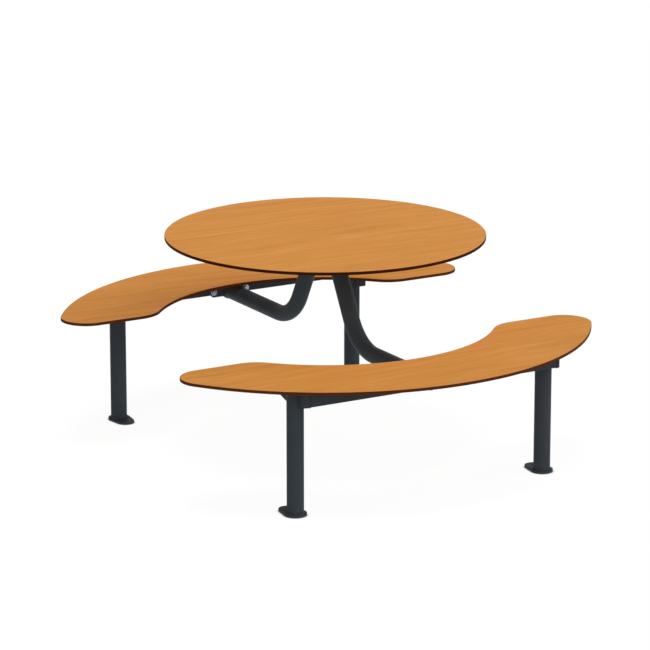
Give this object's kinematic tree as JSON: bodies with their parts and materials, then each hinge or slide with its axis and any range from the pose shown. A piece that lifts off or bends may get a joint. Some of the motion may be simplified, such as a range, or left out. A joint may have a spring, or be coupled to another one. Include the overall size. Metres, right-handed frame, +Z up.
{
  "type": "round table with attached benches",
  "caption": "Round table joined to fixed crescent benches: laminate boards on round tube legs, with bent arms running from the bench rails to the table top.",
  "frame": {"origin": "on the floor under the centre of the table top", "axes": "+Z up, +X along the bench rails, +Y from the front bench to the rear bench"},
  "size_m": [1.5726, 1.828, 0.754],
  "materials": {
    "laminate_board": "satin wood-grain compact laminate with a dark edge",
    "powder_coated_steel": "fine-textured satin powder coat",
    "zinc_fastener": "bright zinc plate"
  },
  "bodies": {
    "root": {"table_top": "laminate_board", "front_seat": "laminate_board", "front_rail": "powder_coated_steel", "front_rail_tabs": "powder_coated_steel", "front_arm": "powder_coated_steel", "front_arm_flange": "powder_coated_steel", "front_table_plate": "powder_coated_steel", "front_flange_bolts": "zinc_fastener", "front_weld_nuts": "zinc_fastener", "front_left_leg": "powder_coated_steel", "front_left_foot": "powder_coated_steel", "front_left_carrier": "powder_coated_steel", "front_left_seat_plate": "powder_coated_steel", "front_right_leg": "powder_coated_steel", "front_right_foot": "powder_coated_steel", "front_right_carrier": "powder_coated_steel", "front_right_seat_plate": "powder_coated_steel", "rear_seat": "laminate_board", "rear_rail": "powder_coated_steel", "rear_rail_tabs": "powder_coated_steel", "rear_arm": "powder_coated_steel", "rear_arm_flange": "powder_coated_steel", "rear_table_plate": "powder_coated_steel", "rear_flange_bolts": "zinc_fastener", "rear_weld_nuts": "zinc_fastener", "rear_left_leg": "powder_coated_steel", "rear_left_foot": "powder_coated_steel", "rear_left_carrier": "powder_coated_steel", "rear_left_seat_plate": "powder_coated_steel", "rear_right_leg": "powder_coated_steel", "rear_right_foot": "powder_coated_steel", "rear_right_carrier": "powder_coated_steel", "rear_right_seat_plate": "powder_coated_steel"}
  },
  "joints": []
}
